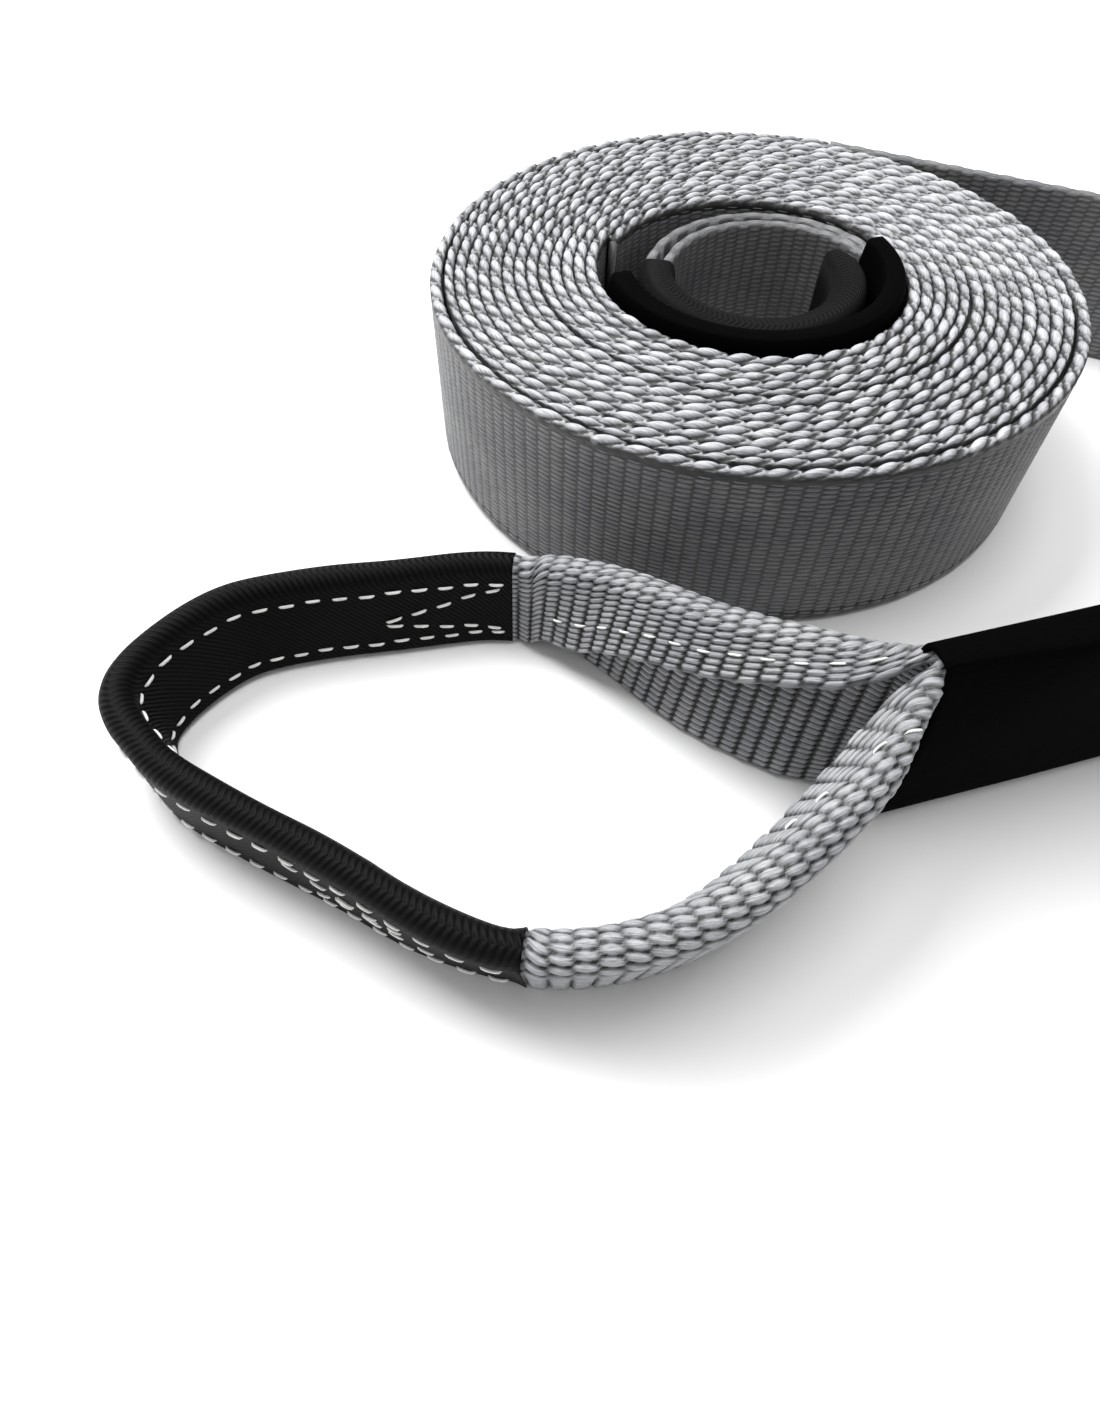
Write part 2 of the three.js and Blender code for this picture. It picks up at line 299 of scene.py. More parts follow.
def band_tube(name, route, distances, mid, material, outer_cells, inner_cells, relief_depth, blunt, seed=0,
              half=WEBBING_THICKNESS / 2, ribbing=RIBBING):
    """Webbing as a closed band. mid(s, u) gives the middle surface's offset to the left of the route and
    height, and the unit normal of its outer face, for u from 0 to the webbing's width. blunt(s, u) squares
    the floats' ends off where the webbing lies flat."""
    s = np.asarray(distances, float)[:, None]
    point, left = route.at(s[:, 0])

    def face(u, side):
        u = u[None, :]
        offset, height, normal_offset, normal_height = mid(s, u)
        rise = weave(s + (side < 0) * RIB_PITCH, u, blunt(s, u), seed + (side < 0) * 50, ribbing)
        out = side * (half - relief_depth + relief_depth * 1.15 * rise)
        return offset + normal_offset * out, height + normal_height * out, rise

    def edge(u, way):
        offset, height, normal_offset, normal_height = mid(s, np.array([[u]]))
        knuckle = weave(s, np.array([[0.0]]), 2.0, seed=seed + 9)
        rings = []
        for turn in (0.22, 0.5, 0.78):
            angle = math.pi * turn
            reach = EDGE_HALF * (0.72 + 0.28 * knuckle)
            across, outward = (half - relief_depth * 0.6) * math.cos(angle), reach * math.sin(angle)
            rings.append((offset + normal_offset * across + way * normal_height * outward,
                          height + normal_height * across - way * normal_offset * outward,
                          0.55 + 0.3 * knuckle))
        return rings

    outer_u = np.linspace(0, WEBBING_WIDTH, outer_cells + 1)
    inner_u = np.linspace(WEBBING_WIDTH, 0, inner_cells + 1)
    far = edge(WEBBING_WIDTH, 1)
    near = edge(0.0, -1)[::-1]
    columns = [face(outer_u, 1), *far, face(inner_u, -1), *near]
    wide = [[np.broadcast_to(c[n], (len(s), c[n].shape[1])) for c in columns] for n in range(3)]
    offset, height, rise = (np.concatenate(parts, 1) for parts in wide)
    plan = point[:, None, :] + left[:, None, :] * offset[..., None]
    points = np.concatenate([plan, height[..., None]], -1)
    across = np.concatenate([outer_u, WEBBING_WIDTH + np.array([1, 2, 3]), inner_u[::-1] + WEBBING_WIDTH + 4,
                             2 * WEBBING_WIDTH + np.array([5, 6, 7, 8])])
    uv = np.stack(np.broadcast_arrays(s, across[None, :]), -1)
    return tube(name, points, uv, rise, material)


# Materials
def material_nodes(name):
    material = bpy.data.materials.new(name)
    material.use_nodes = True
    tree = material.node_tree
    return material, tree, tree.nodes["Principled BSDF"]


def link(tree, source, target):
    tree.links.new(source, target)


def node(tree, kind, **values):
    made = tree.nodes.new(kind)
    for key, value in values.items():
        if key in made.inputs.keys():
            made.inputs[key].default_value = value
        else:
            setattr(made, key, value)
    return made


def stretched_noise(tree, along, across, detail=3.0):
    """Noise drawn out along the yarn: the two scales are marks per millimetre."""
    coordinates = node(tree, "ShaderNodeUVMap", uv_map="weave")
    mapping = node(tree, "ShaderNodeMapping", vector_type="POINT")
    mapping.inputs["Scale"].default_value = (along, across, 1.0)
    noise = node(tree, "ShaderNodeTexNoise", Detail=detail, Roughness=0.6, Scale=1.0)
    link(tree, coordinates.outputs["UV"], mapping.inputs["Vector"])
    link(tree, mapping.outputs["Vector"], noise.inputs["Vector"])
    return noise.outputs["Fac"]


def ramp(tree, source, stops):
    made = tree.nodes.new("ShaderNodeValToRGB")
    elements = made.color_ramp.elements
    elements[0].position, elements[0].color = stops[0][0], (*stops[0][1], 1)
    elements[1].position, elements[1].color = stops[-1][0], (*stops[-1][1], 1)
    for position, colour in stops[1:-1]:
        elements.new(position).color = (*colour, 1)
    link(tree, source, made.inputs["Fac"])
    return made.outputs["Color"]


def mix(tree, blend, factor, first, second):
    made = tree.nodes.new("ShaderNodeMix")
    made.data_type = "RGBA"
    made.blend_type = blend
    made.inputs["Factor"].default_value = factor
    link(tree, first, made.inputs["A"])
    link(tree, second, made.inputs["B"])
    return made.outputs["Result"]


def webbing_material(name, tint, painted_pit_shade, middle, strand_depth):
    """Woven polyester: painted shade darkens the pits between floats, where the relief is low; fine filaments
    along each float.
    """
    material, tree, shader = material_nodes(name)
    relief = node(tree, "ShaderNodeAttribute", attribute_name="relief")
    # dark is painted shade for the pits between floats: low relief is coloured darker, though the yarn is one
    # colour
    dark = tuple(c * painted_pit_shade for c in tint)
    grey = tuple(c * middle for c in tint)
    body = ramp(tree, relief.outputs["Fac"], [(0.22, dark), (0.52, grey), (0.86, tint)])
    strands = stretched_noise(tree, 0.3, 2.6)
    shade = ramp(tree, strands, [(0.3, (0.55, 0.55, 0.56)), (0.7, (1.25, 1.25, 1.26))])
    blotch = stretched_noise(tree, 0.05, 0.08, 2.0)
    drift = ramp(tree, blotch, [(0.35, (0.85, 0.86, 0.88)), (0.65, (1.08, 1.08, 1.06))])
    colour = mix(tree, "MULTIPLY", 1.0, body, shade)
    colour = mix(tree, "MULTIPLY", 1.0, colour, drift)
    link(tree, colour, shader.inputs["Base Color"])
    bump = node(tree, "ShaderNodeBump", Strength=strand_depth, Distance=0.0004)
    link(tree, strands, bump.inputs["Height"])
    link(tree, bump.outputs["Normal"], shader.inputs["Normal"])
    shader.inputs["Roughness"].default_value = 0.4
    shader.inputs["Specular IOR Level"].default_value = 0.55
    return material


def plain_material(name, colour, roughness, specular, ior=1.45):
    material, tree, shader = material_nodes(name)
    cloud = node(tree, "ShaderNodeTexNoise", Scale=60.0, Detail=4.0)
    dark = tuple(c * 0.85 for c in colour)
    light = tuple(c * 1.15 for c in colour)
    shade = ramp(tree, cloud.outputs["Fac"], [(0.3, dark), (0.7, light)])
    link(tree, shade, shader.inputs["Base Color"])
    bump = node(tree, "ShaderNodeBump", Strength=0.15, Distance=0.0003)
    link(tree, cloud.outputs["Fac"], bump.inputs["Height"])
    link(tree, bump.outputs["Normal"], shader.inputs["Normal"])
    shader.inputs["Roughness"].default_value = roughness
    shader.inputs["Specular IOR Level"].default_value = specular
    shader.inputs["IOR"].default_value = ior
    return material


def herringbone_material(name, colour):
    """Twill ribs that meet in a chevron along the middle of the strip, with painted highlight on the ribs and
    painted shade in the grooves between them.
    """
    material, tree, shader = material_nodes(name)
    coordinates = node(tree, "ShaderNodeUVMap", uv_map="weave")
    split = node(tree, "ShaderNodeSeparateXYZ")
    link(tree, coordinates.outputs["UV"], split.inputs["Vector"])
    fold = node(tree, "ShaderNodeMath", operation="ABSOLUTE")
    link(tree, split.outputs["Y"], fold.inputs[0])
    slant = node(tree, "ShaderNodeMath", operation="MULTIPLY_ADD")
    slant.inputs[1].default_value = 1.1
    link(tree, fold.outputs[0], slant.inputs[0])
    link(tree, split.outputs["X"], slant.inputs[2])
    turns = node(tree, "ShaderNodeMath", operation="MULTIPLY")
    turns.inputs[1].default_value = TAU / 1.6
    link(tree, slant.outputs[0], turns.inputs[0])
    wave = node(tree, "ShaderNodeMath", operation="SINE")
    link(tree, turns.outputs[0], wave.inputs[0])
    level = node(tree, "ShaderNodeMapRange")
    level.inputs["From Min"].default_value = -1.0
    link(tree, wave.outputs[0], level.inputs["Value"])
    strands = stretched_noise(tree, 2.5, 2.5)
    # the colour follows the ribs' height: painted shade in the grooves, painted highlight on the ribs
    rib_lit_groove_shaded_colour = ramp(tree, level.outputs["Result"], [(0.2, tuple(c * 0.35 for c in colour)), (0.8, colour)])
    shade = ramp(tree, strands, [(0.3, (0.7, 0.7, 0.7)), (0.7, (1.3, 1.3, 1.3))])
    link(tree, mix(tree, "MULTIPLY", 1.0, rib_lit_groove_shaded_colour, shade), shader.inputs["Base Color"])
    bump = node(tree, "ShaderNodeBump", Strength=0.7, Distance=0.0003)
    link(tree, level.outputs["Result"], bump.inputs["Height"])
    link(tree, bump.outputs["Normal"], shader.inputs["Normal"])
    shader.inputs["Roughness"].default_value = 0.55
    shader.inputs["Specular IOR Level"].default_value = 0.3
    shader.inputs["IOR"].default_value = 1.22
    return material


# The webbing is one grey; these three copies paint light into its tint: lit on the roll's edges, shaded on
# the upright bands (roll side, bore, tail, inner eye), and between the two on the eye's legs
lit_webbing_edges = webbing_material("webbing_edges_painted_lit", (0.58, 0.585, 0.605), 0.07, 0.6, 0.9)
shaded_webbing_sides = webbing_material("webbing_sides_painted_shade", (0.22, 0.222, 0.228), 0.12, 0.5, 0.9)
mid_lit_webbing_legs = webbing_material("webbing_legs_painted_mid_light", (0.37, 0.375, 0.388), 0.012, 0.34, 1.0)
pad_black = herringbone_material("pad_black", (0.0042, 0.0042, 0.0046))
sleeve_black = plain_material("sleeve_black", (0.0015, 0.0015, 0.0017), 0.7, 0.1, ior=1.12)
thread_white = plain_material("thread_white", (0.8, 0.8, 0.78), 0.6, 0.3)


def finish_piece(obj, slot, *nodes):
    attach(obj, "root")
    if nodes:
        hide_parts(*nodes)


# Roll
STRIP_HALF = 1.64
GAP_TURNS = ((1.0, 2.0), (9.3, 10.3))


def edge_floats(s, v, seed=0):
    """The webbing's edge seen end on: a plump slanted float for every two ribs, a thin one beside it and
    the knob of a weft loop between them. v runs from -1 to 1 across the webbing's thickness."""
    period = 2 * RIB_PITCH
    index = np.round(s / period)
    jitter = scatter(index, seed + 3) - 0.5
    x = s - index * period + 0.5 * jitter
    y = v * WEBBING_THICKNESS / 2

    def oval(cx, cy, length, width, slant):
        cos, sin = np.cos(slant), np.sin(slant)
        dx, dy = x - cx, y - cy
        along, across = (dx * cos + dy * sin) / length, (dy * cos - dx * sin) / width
        return np.sqrt(np.clip(1 - along ** 2 - across ** 2, 0, 1))

    slant = math.radians(17) + 0.22 * (scatter(index, seed + 8) - 0.5)
    plump = oval(0.4 * np.sin(5 * jitter), 0.1, 3.5 + 0.9 * jitter, 1.38, slant) * (1 + 0.35 * jitter)
    thin = 0.62 * np.maximum(oval(4.1, -0.85, 1.9, 0.6, slant), oval(-4.1, -0.85, 1.9, 0.6, slant))
    upper = 0.5 * np.maximum(oval(3.6, 1.1, 2.0, 0.6, slant), oval(-4.6, 1.1, 2.0, 0.6, slant))
    knob = 0.8 * oval(-3.5, 0.0, 0.62, 0.62, 0)
    return np.maximum(np.maximum(plump, thin), np.maximum(upper, knob))


def gap_share(angle):
    """1 where a turn stands a little clear of the turn outside it, 0 elsewhere."""
    turns = (angle - WIND_START) / TAU
    share = 0 * turns
    for start, end in GAP_TURNS:
        share = np.maximum(share, smooth((turns - start) * 8) * smooth((end - turns) * 8))
    return share


def crown_strip(name, start, end, top, cells, step, side, material):
    """The row of float ends along one edge of the wound webbing, as a low closed strip."""
    route = wind_route(start, end)
    s = np.arange(0, route.length, step)[:, None]
    angle = np.interp(s, route.distance, np.linspace(start, end, len(route.distance)))
    v = np.linspace(-1, 1, cells + 1)[None, :]
    rise = edge_floats(s, v, seed=round(start))
    gap = gap_share(angle)
    wander = 0.3 * np.sin(s / 37.0) * np.sin(s / 91.0)
    height = top - 0.35 * np.abs(v) ** 3 + 1.25 * (rise - 0.75) + wander
    height = height - 1.2 * gap * np.clip(-v - 0.5, 0, 1)
    offset = v * STRIP_HALF + 0.55 * gap * np.clip(-v, 0, 1)
    offset = np.concatenate([offset, offset[:, -1:] * 0.98, offset[:, :1] * 0.98], 1)
    height = np.concatenate([height, np.full((len(s), 2), top - 3.4)], 1)
    if side < 0:
        height = WEBBING_WIDTH - height
    # Painted shade: where a turn stands clear of the turn outside it, the relief on that side of the strip is
    # cut, and the two skirt points get none, so the colour goes dark there; the random factor is real tone
    # from float to float
    rise = rise * (0.8 + 0.3 * scatter(np.round(s / (2 * RIB_PITCH)), 5)) * (1 - 0.9 * gap * (v < -0.6))
    rise = np.concatenate([rise, np.zeros((len(s), 2))], 1)
    points = place(route, s, offset, height)
    across = np.concatenate([v[0] * WEBBING_THICKNESS / 2, [8, 9, 10]])
    uv = np.stack(np.broadcast_arrays(s, across[None, :]), -1)
    return tube(name, points, uv, rise, material)


def upright(s, u):
    """The middle surface of a band that stands plain on edge."""
    height = lerp(EDGE_HALF, WEBBING_WIDTH - EDGE_HALF, u / WEBBING_WIDTH) + 0 * s
    return 0 * height, height, -1 + 0 * height, 0 * height


def under_crown(s, u):
    """The same, ending below the row of float ends on each edge of the roll."""
    height = lerp(EDGE_HALF + 1.0, WEBBING_WIDTH - EDGE_HALF - 2.0, u / WEBBING_WIDTH) + 0 * s
    return 0 * height, height, -1 + 0 * height, 0 * height


def flat_blunt(s, u):
    return 4.5


def rib_steps(length, marks=(-0.5, -0.32, 0, 0.32)):
    """Distances that fall on the same marks of every rib."""
    ribs = np.arange(0, math.ceil(length / RIB_PITCH) + 1)[:, None]
    steps = ((ribs + np.array(marks)[None, :]) * RIB_PITCH).ravel()
    return steps[(steps >= 0) & (steps <= length)]


def make_roll():
    middle = WIND_START + 6 * TAU
    halves = (("roll_top_outer_turns", WIND_START, middle), ("roll_top_inner_turns", middle, WIND_END))
    for name, start, end in halves:
        top = crown_strip(name, start, end, WEBBING_WIDTH - 0.5, 10, 0.68, 1, lit_webbing_edges)
        finish_piece(top, "grey_webbing", "strap_webbing")
    low = crown_strip("roll_under_edges", WIND_START, WIND_END, WEBBING_WIDTH - 0.8, 4, 2.8, -1, lit_webbing_edges)
    finish_piece(low, "grey_webbing", "strap_webbing")
    outer = wind_route(WIND_START, WIND_START + TAU)
    side = band_tube("roll_outer_turn", outer, rib_steps(outer.length), under_crown, shaded_webbing_sides,
                     128, 4, ROLL_RELIEF, flat_blunt, seed=5)
    finish_piece(side, "grey_webbing", "strap_webbing")
    inner = wind_route(WIND_END - TAU, WIND_END)
    bore = band_tube("roll_inner_turn", inner, rib_steps(inner.length), under_crown,
                     shaded_webbing_sides, 4, 64, BORE_RELIEF, flat_blunt, seed=6)
    finish_piece(bore, "grey_webbing", "strap_webbing")
    body_route = Route(arc((0, 0), (ROLL_RADIUS + BORE_RADIUS) / 2, 0, TAU, 181))
    half = (ROLL_RADIUS - BORE_RADIUS) / 2 - 3.6
    ring = np.array([(-half, 2.6), (half, 2.6), (half, 47.2), (-half, 47.2)])
    distances = np.linspace(0, body_route.length, 181)
    points = place(body_route, distances[:, None], np.tile(ring[:, 0], (181, 1)), ring[None, :, 1])
    uv = np.stack(np.broadcast_arrays(distances[:, None], np.arange(5.0)[None, :]), -1)
    # relief 0 colours the hidden turns with the painted pit shade throughout
    body = tube("roll_hidden_turns", points, uv, np.zeros((181, 4)), shaded_webbing_sides)
    finish_piece(body, "grey_webbing", "strap_webbing")


def make_tail():
    route = tail_route()
    tail = band_tube("tail", route, rib_steps(route.length), upright, shaded_webbing_sides,
                     64, 64, TAIL_RELIEF, flat_blunt, seed=8)
    finish_piece(tail, "grey_webbing", "strap_webbing")


# Outer eye
EYE = eye_route()
PAD_FROM = (EYE.length - PAD_LENGTH) / 2
EXTRA_FLAP = 4.0
PAD_FRONT_EXTRA = 6.0
PAD_END = EYE.length - PAD_FROM + PAD_FRONT_EXTRA
PAD_OUTSIDE = 2.15
PAD_INSIDE = 1.8
PRESSED_HALF = 1.2

# Each pair is a distance along the eye and the sideways lean there, positive into the eye
CREST_LEANS = (
    (95, -1.4), (140, -2.4), (165, -2.8), (190, -2.0), (215, 0.0), (275, -0.8), (304, -2.8), (330, -2.6),
)
FOOT_LEANS = ((95, 1.7), (190, 1.7), (215, 0.6), (285, 0.9), (305, 1.7))

# The front leg's crest is drawn towards the back leg where they enter the sleeve
MOUTH_PULL = 3.4
MOUTH_REACH = 12.0
OPENING_ANGLE = math.radians(80)
OPENING_FADE = 24.0


def fold_at(s):
    """How the fold lies at distances s along the eye: its foot and crest, the tilt of its two halves and
    the arc lengths of its outer half, its fold and its inner half."""
    from_joint = np.minimum(s, EYE.length - s)
    share = np.clip(from_joint / OPENING_LENGTH, 0, 1)
    closed = smooth(share)
    crease = CREASE_SHARE * np.exp(-from_joint / CREASE_LENGTH)
    opened = crease + (1 - CREASE_SHARE) * (1 - share ** OPENING_RATE)
    twist = (1 - share ** TWIST_RATE) * smooth(from_joint / TWIST_LENGTH)
    crest_lean = np.interp(s, *zip(*CREST_LEANS)) * closed
    foot_lean = np.interp(s, *zip(*FOOT_LEANS)) * closed
    in_pad = smooth((from_joint - OPENING_LENGTH + 2) / 6)
    low = SLEEVE_OFFSET * (1 - smooth(from_joint / LIFT_LENGTH)) + EDGE_HALF
    radius = lerp(1.2, 2.9, smooth(from_joint / 30)) - 1.3 * in_pad
    crest = lerp(FOLD_HEIGHT + 1.2, WEBBING_WIDTH, opened) - 1.0 * in_pad
    top = crest + low - EDGE_HALF - radius - WEBBING_THICKNESS / 2
    pull = MOUTH_PULL * np.exp(-(from_joint / MOUTH_REACH) ** 2) * (s > EYE.length / 2)
    centre = crest_lean - CREST_TWIST * twist + pull
    foot = foot_lean + BACK_FOOT_TWIST * twist * (s < EYE.length / 2) - radius * share ** 2
    slope = np.arctan2(centre - radius - foot, top - low)
    slope = np.arctan2(centre - radius * np.cos(slope) - foot, top + radius * np.sin(slope) - low)
    base = np.stack([centre - radius * np.cos(slope), top + radius * np.sin(slope)])
    outer = np.hypot(base[0] - foot, base[1] - low)
    tilt = -slope + OPENING_ANGLE * np.exp(-from_joint / OPENING_FADE) * (1 - in_pad)
    turn = math.pi - tilt - slope
    widened = smooth(from_joint / 20) * (1 - smooth((from_joint - 75) / 15))
    width = WEBBING_WIDTH - 2 * EDGE_HALF + EXTRA_FLAP * widened
    beyond = np.maximum(width - outer - radius * turn, 0.2)
    drop = np.minimum(beyond, (top + radius * np.sin(tilt) - EDGE_HALF) / np.cos(tilt))
    return {"low": low, "foot": foot, "centre": centre, "top": top, "radius": radius, "slope": slope,
            "outer": outer, "turn": turn, "drop": drop, "total": outer + radius * turn + drop}


def fold_surface(fold, distance):
    """The folded band's middle surface at arc distances from its foot, and its outer normal."""
    radius, slope = fold["radius"], fold["slope"]
    straight = np.minimum(distance, fold["outer"])
    angle = slope + np.clip((distance - fold["outer"]) / radius, 0, fold["turn"])
    beyond = np.maximum(distance - fold["outer"] - radius * fold["turn"], 0)
    bent = distance > fold["outer"]
    offset = np.where(bent, fold["centre"] - radius * np.cos(angle) + beyond * np.sin(angle),
                      fold["foot"] + straight * np.sin(slope))
    height = np.where(bent, fold["top"] + radius * np.sin(angle) + beyond * np.cos(angle),
                      fold["low"] + straight * np.cos(slope))
    return offset, height, -np.cos(angle), np.sin(angle)


def eye_mid(s, u):
    fold = fold_at(s)
    return fold_surface(fold, u / WEBBING_WIDTH * fold["total"])


def eye_blunt(s, u):
    """Pointed floats on the fold, square ones where the webbing lies flat."""
    fold = fold_at(s)
    crest = (fold["outer"] + fold["radius"] * fold["turn"] / 2) / fold["total"] * WEBBING_WIDTH
    return 4.5 - 2.5 * np.exp(-((u - crest) / 9) ** 4)


def make_outer_eye():
    leg = OPENING_LENGTH + 10
    plain = WEBBING_THICKNESS / 2
    back = np.arange(0, leg, FINE)
    hidden = np.arange(leg - 2, EYE.length - leg + 2, 4.0)
    front = np.arange(EYE.length - leg, EYE.length, FINE)
    spans = (("outer_eye_back_leg", back, 128, 128, plain),
             ("outer_eye_in_pad", hidden, 40, 20, PRESSED_HALF),
             ("outer_eye_front_leg", front, 128, 128, plain))
    for name, distances, outer_cells, inner_cells, half in spans:
        eye = band_tube(name, EYE, distances, eye_mid, mid_lit_webbing_legs, outer_cells, inner_cells, LEG_RELIEF,
                        eye_blunt, seed=2, half=half, ribbing=LEG_RIBBING)
        finish_piece(eye, "grey_webbing", "strap_webbing")


def pad_surface(s, w, out):
    """Points on the pad's outside: w in mm from the fold's crest, positive down the outer side."""
    fold = fold_at(s)
    crest = fold["outer"] + fold["radius"] * fold["turn"] / 2
    offset, height, normal_offset, normal_height = fold_surface(fold, crest - w)
    return offset + normal_offset * out, height + normal_height * out, normal_offset, normal_height


def make_outer_pad():
    s = np.arange(PAD_FROM, PAD_END, 0.8)[:, None]
    w = np.linspace(-23.4, 25.0, 76)[None, :]
    ripple = 0.2 * np.sin(s / 7.0 + w / 9.0) * np.sin(s / 17.0)
    outer = pad_surface(s, w, PAD_OUTSIDE + ripple)
    inner = pad_surface(s, w[:, ::-3], PAD_INSIDE)
    offset = np.concatenate([outer[0], inner[0]], 1)
    height = np.maximum(np.concatenate([outer[1], inner[1]], 1), 0.15)
    points = place(EYE, s, offset, height)
    across = np.concatenate([w[0], w[0, ::-3] + 100, [200]])
    uv = np.stack(np.broadcast_arrays(s, across[None, :]), -1)
    pad = tube("outer_eye_pad_cover", points, uv, np.ones(offset.shape), pad_black)
    finish_piece(pad, "pad_black", "outer_eye_pad")


DASH_SIDES = 6
DASH_RINGS = 7


def dash_points(centre, normal, radius):
    """Rings of points round one dash of thread, which narrows at both ends."""
    share = np.linspace(0, 1, DASH_RINGS)
    along = np.gradient(centre, axis=0)
    along /= np.linalg.norm(along, axis=1, keepdims=True)
    across = np.cross(along, normal)
    thick = radius * np.sqrt(np.clip(1 - (2 * share - 1) ** 6, 0.02, 1))[:, None, None]
    angle = (np.arange(DASH_SIDES) * TAU / DASH_SIDES)[None, :, None]
    rings = centre[:, None] + thick * (np.cos(angle) * normal[:, None] + np.sin(angle) * across[:, None])
    return rings.reshape(-1, 3)


def dash_faces(base):
    """Faces of the dash whose points are numbered from base on."""
    faces = []
    for i in range(DASH_RINGS - 1):
        near, far = base + i * DASH_SIDES, base + (i + 1) * DASH_SIDES
        for j in range(DASH_SIDES):
            k = (j + 1) % DASH_SIDES
            faces.append([near + j, near + k, far + k, far + j])
    last = base + (DASH_RINGS - 1) * DASH_SIDES
    faces.append([base + j for j in reversed(range(DASH_SIDES))])
    faces.append([last + j for j in range(DASH_SIDES)])
    return faces


def stitches(name, rows, surface, route, length=4.6, gap=1.9, radius=0.38):
    """Thread dashes on a surface, each sunk at both ends. A row is where it starts and ends along the route,
    and a function that gives its place across from the distance along."""
    points, faces = [], []
    share = np.linspace(0, 1, DASH_RINGS)
    for start, end, across_at in rows:
        for n, first in enumerate(np.arange(start, end - length, length + gap)):
            s = first + share * length
            w = across_at(s) + 0.25 * math.sin(n * 2.1)
            sink = 0.7 * (2 * share - 1) ** 4
            offset, height, normal_offset, normal_height = surface(s, w, 0.25 - sink)
            _, left = route.at(s)
            normal = np.concatenate([left * normal_offset[..., None], normal_height[..., None]], -1)
            faces += dash_faces(DASH_RINGS * DASH_SIDES * len(points))
            points.append(dash_points(place(route, s, offset, height), normal, radius))
    points = np.vstack(points)
    corners = sum(len(f) for f in faces)
    return write_mesh(name, points, faces, np.zeros((corners, 2)), np.ones(len(points)), thread_white)


def make_pad_stitches():
    def surface(s, w, out):
        return pad_surface(s, w, PAD_OUTSIDE + out)

    def line(first, last, a, b):
        return lambda s: a + (b - a) * (s - first) / (last - first)

    start, end = PAD_FROM + 2, PAD_END - 2
    upper, lower, apex = 5.4, 20.4, 15.0
    rows = [(start, end, line(start, end, side * at, side * at)) for side in (-1, 1) for at in (upper, lower)]
    rows += [(start + 1, start + 34, line(start, start + 34, -upper - 1, -apex)),
             (start + 1, start + 34, line(start, start + 34, -lower + 1, -apex)),
             (end - 52, end - 24, line(end - 52, end - 24, upper + 2, 16.5)),
             (end - 46, end - 18, line(end - 46, end - 18, 17.5, upper + 2.5)),
             (end - 40, end - 14, line(end - 40, end - 14, 13.0, 15.0))]
    obj = stitches("outer_pad_stitches", rows, surface, EYE)
    finish_piece(obj, "pad_black")


def make_leg_stitches():
    base = WEBBING_THICKNESS / 2

    def surface(s, w, out):
        offset, height, normal_offset, normal_height = eye_mid(s, WEBBING_WIDTH - w)
        rise = base + out
        return offset + normal_offset * rise, height + normal_height * rise, normal_offset, normal_height

    start, end = 9.0, OPENING_LENGTH - 6
    rows = [(start, end, lambda s: 3.2 + 0.05 * s)]
    rows += [(EYE.length - at, EYE.length - at + 4, lambda s: 8.0 + 0 * s) for at in (40, 33, 20, 14)]
    obj = stitches("leg_stitches", rows, surface, EYE, length=3.4, gap=3.2, radius=0.3)
    finish_piece(obj, "grey_webbing")


# Sleeves
def sleeve_tube(name, route, thickness, low, high, start, end, step, nodes, mouth=0.0):
    """A closed shell round the sewn joint, with its soft corners and slight ripples. mouth is how far
    its near side is drawn in at the top of the start."""
    s = np.arange(start, end + step / 2, step)[:, None]
    angle = np.linspace(0, TAU, 64, endpoint=False)[None, :]
    half_w, half_h = thickness / 2, (high - low) / 2
    side_power, end_power = 0.28, 0.55

    def loop(shrink):
        cos, sin = np.cos(angle), np.sin(angle)
        x = np.sign(cos) * np.abs(cos) ** side_power * (half_w - shrink)
        z = np.sign(sin) * np.abs(sin) ** end_power * (half_h - shrink)
        return x, z

    outer_x, outer_z = loop(0)
    inner_x, inner_z = loop(SLEEVE_WALL)
    ripple = 0.3 * np.sin(s / 23 + 2 * np.sin(angle)) * np.cos(s / 31)
    outer_x = outer_x * (1 + ripple / half_w)
    pinch = mouth * (1 - smooth((s - start) / 34))
    outer_x = outer_x * (1 - pinch * np.clip(outer_z / half_h, 0, 1) ** 1.3 * (outer_x < 0))
    inner_x = inner_x * (1 - pinch * np.clip(inner_z / half_h, 0, 1) ** 1.3 * (inner_x < 0))
    centre = (low + high) / 2
    outside = place(route, s, outer_x, outer_z + centre)
    inside = place(route, s, np.broadcast_to(inner_x, outer_x.shape), inner_z + centre)
    points = np.concatenate([outside, inside[::-1]], 0)
    rows, cols = points.shape[:2]
    i, j = np.meshgrid(np.arange(rows), np.arange(cols), indexing="ij")
    k = (j + 1) % cols
    n = (i + 1) % rows
    quads = np.stack([i * cols + j, n * cols + j, n * cols + k, i * cols + k], -1).reshape(-1, 4)
    flat = points.reshape(-1, 3)
    if signed_volume(flat, quads) < 0:
        quads = quads[:, ::-1]
    uvs = np.zeros((len(quads) * 4, 2))
    obj = write_mesh(name, flat, quads.tolist(), uvs, np.ones(len(flat)), sleeve_black)
    finish_piece(obj, "sleeve_black", *nodes)


